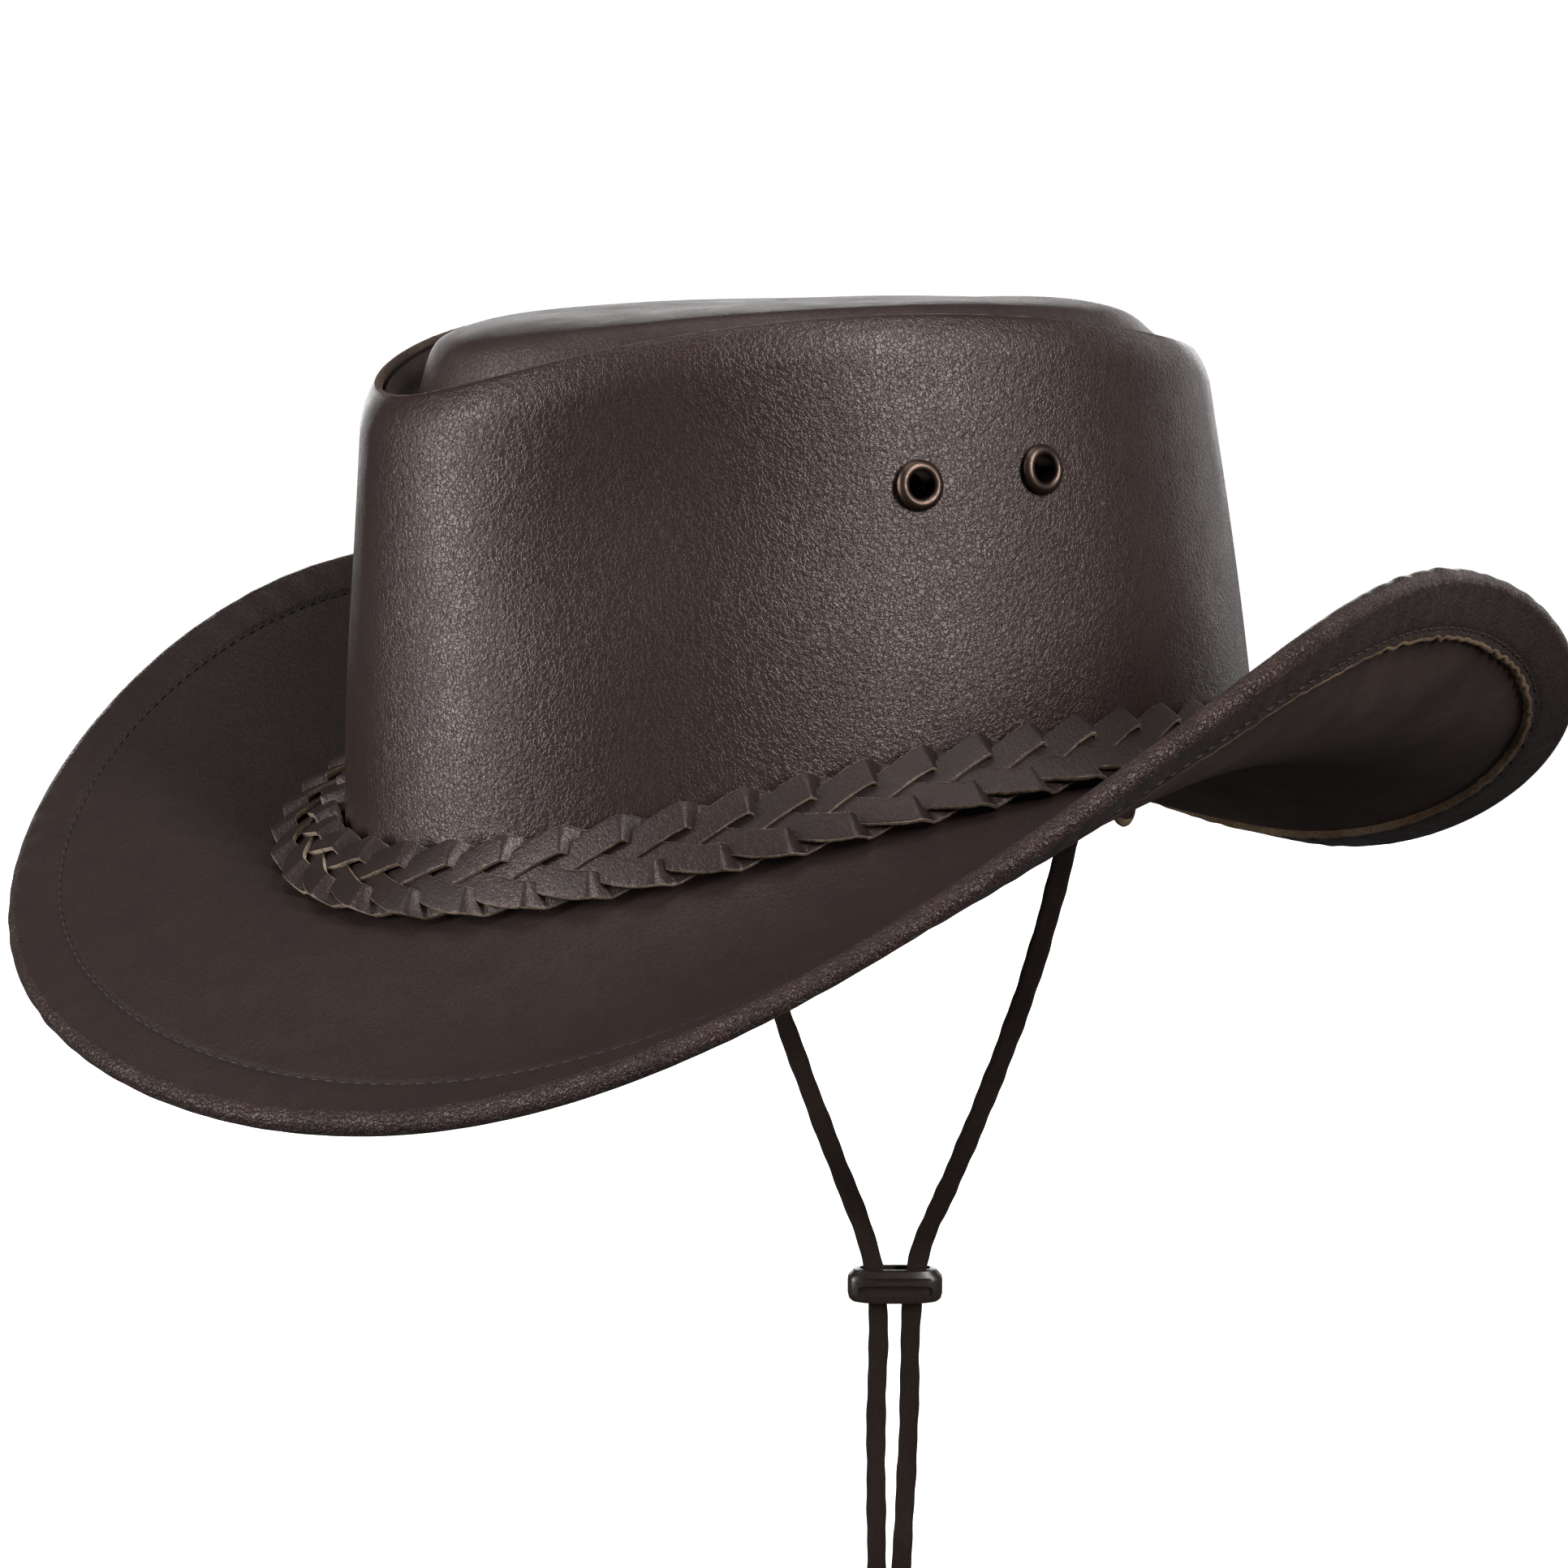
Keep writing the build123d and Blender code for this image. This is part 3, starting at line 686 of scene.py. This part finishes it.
def plait():
    fine = np.linspace(360, 0, 2881)
    mx, mz, _, _ = band_frame(fine)
    line = on_section(fine, mx, mz)
    run = np.concatenate([[0], np.cumsum(np.linalg.norm(np.diff(line, axis=0), axis=1))]) / MM
    total = run[-1]
    step = 2 * pi * TURNS / total
    rows = 1600
    s_mid = np.arange(rows) * total / rows
    pieces = []
    half = STRAP_WIDE / 2
    profile = [(-1.0, -0.42, 1), (-0.97, -0.5, 0), (-0.75, -0.5, 0), (-0.4, -0.5, 0), (0.0, -0.5, 0),
               (0.4, -0.5, 0), (0.75, -0.5, 0), (0.97, -0.5, 1), (1.0, -0.42, 1), (1.0, 0.42, 1),
               (0.975, 0.5, 0), (0.8, 0.53, 0), (0.4, 0.56, 0), (0.0, 0.57, 0), (-0.4, 0.56, 0),
               (-0.8, 0.53, 0), (-0.975, 0.5, 1), (-1.0, 0.42, 1)]

    for k in range(STRAPS):
        cols, slots = [], []
        t = step * s_mid + 2 * pi * k / STRAPS
        across, slope = swing(t)
        slope = slope * step
        norm = np.sqrt(1 + slope ** 2)
        r = np.random.default_rng(40 + k)
        vary = 1 + 0.02 * np.sin(t / TURNS * 37 + r.uniform(0, 6)) - 0.02 * np.abs(np.sin(t * 4.3 + r.uniform(0, 6)))
        fray = 0.05 * ripple(s_mid, (300, 900), 60 + k)
        for u, w, slot in profile:
            q = u * half * vary + (fray if abs(u) == 1.0 else 0)
            s = s_mid - q * slope / norm
            v = across + q / norm
            height = level(s, t, k, step) + w * STRAP_THICK
            a = np.interp(np.mod(s, total), run, fine)
            mx, mz, dx, dz = band_frame(a)
            # the outward normal of the band is its upward direction turned by a quarter
            cols.append(on_section(a, mx + dx * v + dz * height, mz + dz * v - dx * height))
            slots.append(slot)
        mesh = grid_mesh("plait_strap_" + str(k + 1), np.stack(cols, 1), slots)
        bm = bmesh.new()
        bm.from_mesh(mesh)
        bmesh.ops.recalc_face_normals(bm, faces=bm.faces)
        bm.to_mesh(mesh)
        bm.free()
        mesh.set_sharp_from_angle(angle=radians(42))
        pieces.append(add_object("plait_strap_" + str(k + 1), mesh, [STRAP, STRAP_EDGE], smooth=False))
        mesh.polygons.foreach_set("use_smooth", [True] * len(mesh.polygons))
        mesh.set_sharp_from_angle(angle=radians(42))
    return pieces


straps = plait()


# ---------------------------------------------------------------------------------------------
# vents: rolled brass eyelets
def turned(name, spot, out, profile, material, sides=64):
    ref = Vector((0, 0, 1))
    x = ref.cross(out).normalized()
    y = out.cross(x)
    rows = []
    for k in range(sides):
        th = 2 * pi * k / sides
        d = x * cos(th) + y * sin(th)
        rows.append([(spot + d * (r * MM) - out * (depth * MM))[:] for r, depth in profile])
    mesh = tidy(grid_mesh(name, np.array(rows)))
    return add_object(name, mesh, [material])


def rounded(points, times=2):
    for _ in range(times):
        new = []
        for p, q in zip(points, points[1:] + points[:1]):
            new += [(0.75 * p[0] + 0.25 * q[0], 0.75 * p[1] + 0.25 * q[1]),
                    (0.25 * p[0] + 0.75 * q[0], 0.25 * p[1] + 0.75 * q[1])]
        points = new
    return points


EYELET = rounded([(2.75, -1.2), (3.1, -1.75), (3.9, -1.95), (4.7, -1.55), (5.2, -0.8), (5.1, -0.35),
                  (4.0, -0.35), (3.35, -0.3), (3.3, 3.4), (4.15, 4.0), (4.0, 4.35), (3.1, 4.1), (2.75, 3.4)])
eyelets = []
for name, spot, out in vent_spots:
    eyelets.append((name, turned("eyelet_" + name, spot, out, EYELET, BRASS)))


# ---------------------------------------------------------------------------------------------
# slider, knot and the leather stubs
def superellipse(n, ax, ay, power):
    t = np.arange(n) * 2 * pi / n
    c, s = np.cos(t), np.sin(t)
    return np.stack([ax * np.sign(c) * np.abs(c) ** (2 / power), ay * np.sign(s) * np.abs(s) ** (2 / power)], 1)


def slider():
    """Flat oval slider with a rounded body and a recessed window."""
    middle = Vector((0, 23.6 * MM, SLIDER_Z))
    x = ALONG
    z = Vector((0, 0, 1))
    y = z.cross(x)
    verts = []
    n = 64
    rows = [(-3.8, 0.80), (-3.6, 0.90), (-3.0, 0.97), (-1.8, 1.0), (1.2, 1.0), (2.0, 0.985), (2.6, 0.93),
            (3.1, 0.88), (3.6, 0.84), (3.8, 0.76)]
    pts = []
    for h, k in rows:
        ring = superellipse(n, 10.75 * (0.12 + 0.88 * k), 4.3 * k, 2.9)
        pts.append([(middle + x * (p[0] * MM) + y * (p[1] * MM) + z * (h * MM))[:] for p in ring])
    mesh = grid_mesh("slider_body", np.array(pts), close_rows=False)
    bm = bmesh.new()
    bm.from_mesh(mesh)
    bm.verts.ensure_lookup_table()
    bm.faces.new([bm.verts[i] for i in range(n)])
    bm.faces.new([bm.verts[(len(rows) - 1) * n + i] for i in range(n)])
    bmesh.ops.recalc_face_normals(bm, faces=bm.faces)
    bm.to_mesh(mesh)
    bm.free()
    body = add_object("slider_body", mesh, [PLASTIC])

    def cutter(width, deep, high, at, power=4.0):
        # a rounded block along the normal given by deep's direction
        ring = superellipse(40, width / 2, high / 2, power)
        rows = [[(middle + x * ((at[0] + p[0]) * MM) + y * ((at[1] + s * deep / 2) * MM)
                  + z * ((at[2] + p[1]) * MM))[:] for p in ring] for s in (-1, 1)]
        m = grid_mesh("cut", np.array(rows), close_rows=False)
        b = bmesh.new()
        b.from_mesh(m)
        b.verts.ensure_lookup_table()
        b.faces.new([b.verts[i] for i in range(40)])
        b.faces.new([b.verts[40 + i] for i in range(40)])
        bmesh.ops.recalc_face_normals(b, faces=b.faces)
        b.to_mesh(m)
        b.free()
        o = bpy.data.objects.new("cut", m)
        bpy.context.scene.collection.objects.link(o)
        return o

    def slot_cutter():
        ring = superellipse(40, 8.0, 2.2, 3.2)
        rows = [[(middle + x * (p[0] * MM) + y * (p[1] * MM) + z * (h * MM))[:] for p in ring] for h in (-5, 5)]
        m = grid_mesh("cut", np.array(rows), close_rows=False)
        b = bmesh.new()
        b.from_mesh(m)
        b.verts.ensure_lookup_table()
        b.faces.new([b.verts[i] for i in range(40)])
        b.faces.new([b.verts[40 + i] for i in range(40)])
        bmesh.ops.recalc_face_normals(b, faces=b.faces)
        b.to_mesh(m)
        b.free()
        o = bpy.data.objects.new("cut", m)
        bpy.context.scene.collection.objects.link(o)
        return o

    cuts = [slot_cutter(), cutter(17.0, 3.4, 3.0, (0.0, -4.4, -1.0)), cutter(17.0, 1.6, 0.7, (0, -4.3, 1.9), 3.0)]
    for c in cuts:
        mod = body.modifiers.new("cut", "BOOLEAN")
        mod.object = c
        mod.operation = "DIFFERENCE"
        mod.solver = "EXACT"
    bevel = body.modifiers.new("bevel", "BEVEL")
    bevel.width = 0.00025
    bevel.segments = 2
    bevel.limit_method = "ANGLE"
    bevel.angle_limit = radians(40)
    bpy.context.view_layer.update()
    done = bpy.data.meshes.new_from_object(body.evaluated_get(bpy.context.evaluated_depsgraph_get()))
    body.modifiers.clear()
    body.data = done
    for c in cuts:
        bpy.data.objects.remove(c)
    try:
        done.set_sharp_from_angle(angle=radians(38))
    except AttributeError:
        pass
    return body


slide = slider()


def knot():
    """Overhand knot that ties the two laces."""
    c = Vector((-0.9 * MM, 22.15 * MM, -217.2 * MM))
    t = np.linspace(0, 2 * pi, 181)
    path = []
    for k in t:
        x = (sin(k) + 2 * sin(2 * k)) / 3 * 3.5
        z = (cos(k) - 2 * cos(2 * k)) / 3 * 5.6
        y = -sin(3 * k) * 2.6
        path.append(c + (ALONG * x + Vector((0, 0, 1)).cross(ALONG) * y + Vector((0, 0, 1)) * z) * MM)
    mesh = strip_mesh("end_knot", path, 3.9, 1.7, lambda f: Vector((0, 0, 1)).cross(ALONG)
                      * sin(f * 9.4) + ALONG * cos(f * 9.4), seed=8)
    o = add_object("end_knot", mesh, [LACE_SUEDE])
    return o


tied = knot()


def stub(side, name):
    """Stitched end of the leather tab that holds a lace, with its cut edge showing."""
    a = side * 104.9
    foot = base(a)[2]
    nx, ny = outward(a)
    mid = Vector(on_section(a, 1.2, foot - 7.9))
    out = Vector(world(nx, ny, 0.0)).normalized()
    up = Vector((0, -sin(TILT), cos(TILT)))
    along = up.cross(out).normalized()
    rows = []
    n = 20
    for i in range(17):
        f = -1 + 2 * i / 16
        r = max(0.02, (1 - f * f)) ** 0.7
        ring = []
        for k in range(n):
            th = 2 * pi * k / n
            ring.append((mid + along * (f * 3.6 * MM) + out * (cos(th) * 1.9 * r * MM)
                         + up * (sin(th) * 4.4 * r * MM))[:])
        rows.append(ring)
    slots = [1 if 12 <= k <= 17 else 0 for k in range(n)]
    mesh = grid_mesh(name, np.array(rows), slots, close_rows=False)
    return add_object(name, tidy(mesh), [STRAP, RAW])


stubs = [stub(1, "lace_stub_left"), stub(-1, "lace_stub_right")]

# ---------------------------------------------------------------------------------------------
# what each piece stands for and, apart from the laces, moves with
for o, names in ((wall, ("crown_side",)), (panel, ("crown_tip",)), (brim, ("brim",)),
                 (stubs[0], ("lace_anchor_left",)), (stubs[1], ("lace_anchor_right",))):
    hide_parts(*names)
    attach(o, "hat")
for o in straps:
    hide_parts("hatband")
    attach(o, "hat")
for name, o in eyelets:
    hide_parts("vent_eyelet_" + name)
    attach(o, "hat")
for o in (stitches_top, stitches_under):
    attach(o, "hat")
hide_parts("chin_slider")
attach(slide, "slider")
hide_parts("lace_end_knot")
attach(tied, "chin_cord")

for side in ("left", "right"):
    upper, upath = lace_pieces["lace_upper_" + side]
    tail, tpath = lace_pieces["lace_tail_" + side]
    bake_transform(upper)
    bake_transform(tail)
    for o in (upper, tail):
        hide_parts("chin_lace_" + side)

# CAD nodes whose shape stays get the real finish
for node_name, mats in (("sweatband", BAND), ("hatband_keeper", STRAP), ("brim_wire", WIRE),
                        ("vent_washer_left_front", BRASS), ("vent_washer_right_front", BRASS),
                        ("vent_washer_left_back", BRASS), ("vent_washer_right_back", BRASS)):
    for slot in frame["nodes"][node_name].material_slots:
        slot.link = "OBJECT"
        slot.material = mats

# ---------------------------------------------------------------------------------------------
# floor and light
FLOOR_Z = -0.262


def stage_mesh():
    """Round floor that sweeps up into a far backdrop, all round the object."""
    rows = []
    n = 96
    profile = [(0.0, 0.0), (1.5, 0.0), (3.0, 0.0)]
    profile += [(3.0 + 2.0 * sin(t), 2.0 - 2.0 * cos(t)) for t in np.linspace(0.1, pi / 2, 10)]
    profile += [(5.0, 6.0), (0.0, 8.0)]
    for k in range(n):
        th = 2 * pi * k / n
        rows.append([(r * cos(th), r * sin(th), FLOOR_Z + z) for r, z in profile])
    return tidy(grid_mesh("floor", np.array(rows), close_cols=False))


white = bpy.data.materials.new("floor_white")
white.use_nodes = True
wb = white.node_tree.nodes["Principled BSDF"]
wb.inputs["Base Color"].default_value = (0.9, 0.9, 0.9, 1)
wb.inputs["Roughness"].default_value = 1.0
wb.inputs["Specular IOR Level"].default_value = 0.0
wb.inputs["Emission Color"].default_value = (1, 1, 1, 1)
wb.inputs["Emission Strength"].default_value = 0.9
floor = add_object("floor", stage_mesh(), [white])
floor.visible_diffuse = False
floor.visible_glossy = False
floor.visible_transmission = False
floor.visible_shadow = False

world_data = bpy.data.worlds.new("studio")
bpy.context.scene.world = world_data
world_data.use_nodes = True
world_data.node_tree.nodes["Background"].inputs["Color"].default_value = (1, 1, 1, 1)
world_data.node_tree.nodes["Background"].inputs["Strength"].default_value = 0.08


def softbox(name, azimuth, elevation, distance, size, power, target=(0, 0, 0.03)):
    data = bpy.data.lights.new(name, "AREA")
    data.shape = "RECTANGLE"
    data.size, data.size_y = size
    data.energy = power
    o = bpy.data.objects.new(name, data)
    a, e = radians(azimuth), radians(elevation)
    d = Vector((sin(a) * cos(e), -cos(a) * cos(e), sin(e)))
    o.location = Vector(target) + d * distance
    o.rotation_euler = d.to_track_quat("Z", "Y").to_euler()
    bpy.context.scene.collection.objects.link(o)
    return o


softbox("key_left", -10, 10, 1.7, (0.30, 1.3), 28)
softbox("fill_right", 102, 26, 1.7, (0.34, 1.3), 33)
softbox("back_right", 200, 14, 1.8, (0.6, 1.2), 3)
softbox("behind_left", 242, 8, 1.8, (1.6, 0.5), 15)
softbox("overhead", 30, 80, 1.7, (1.0, 1.0), 7)

bpy.context.scene.view_settings.view_transform = "Standard"
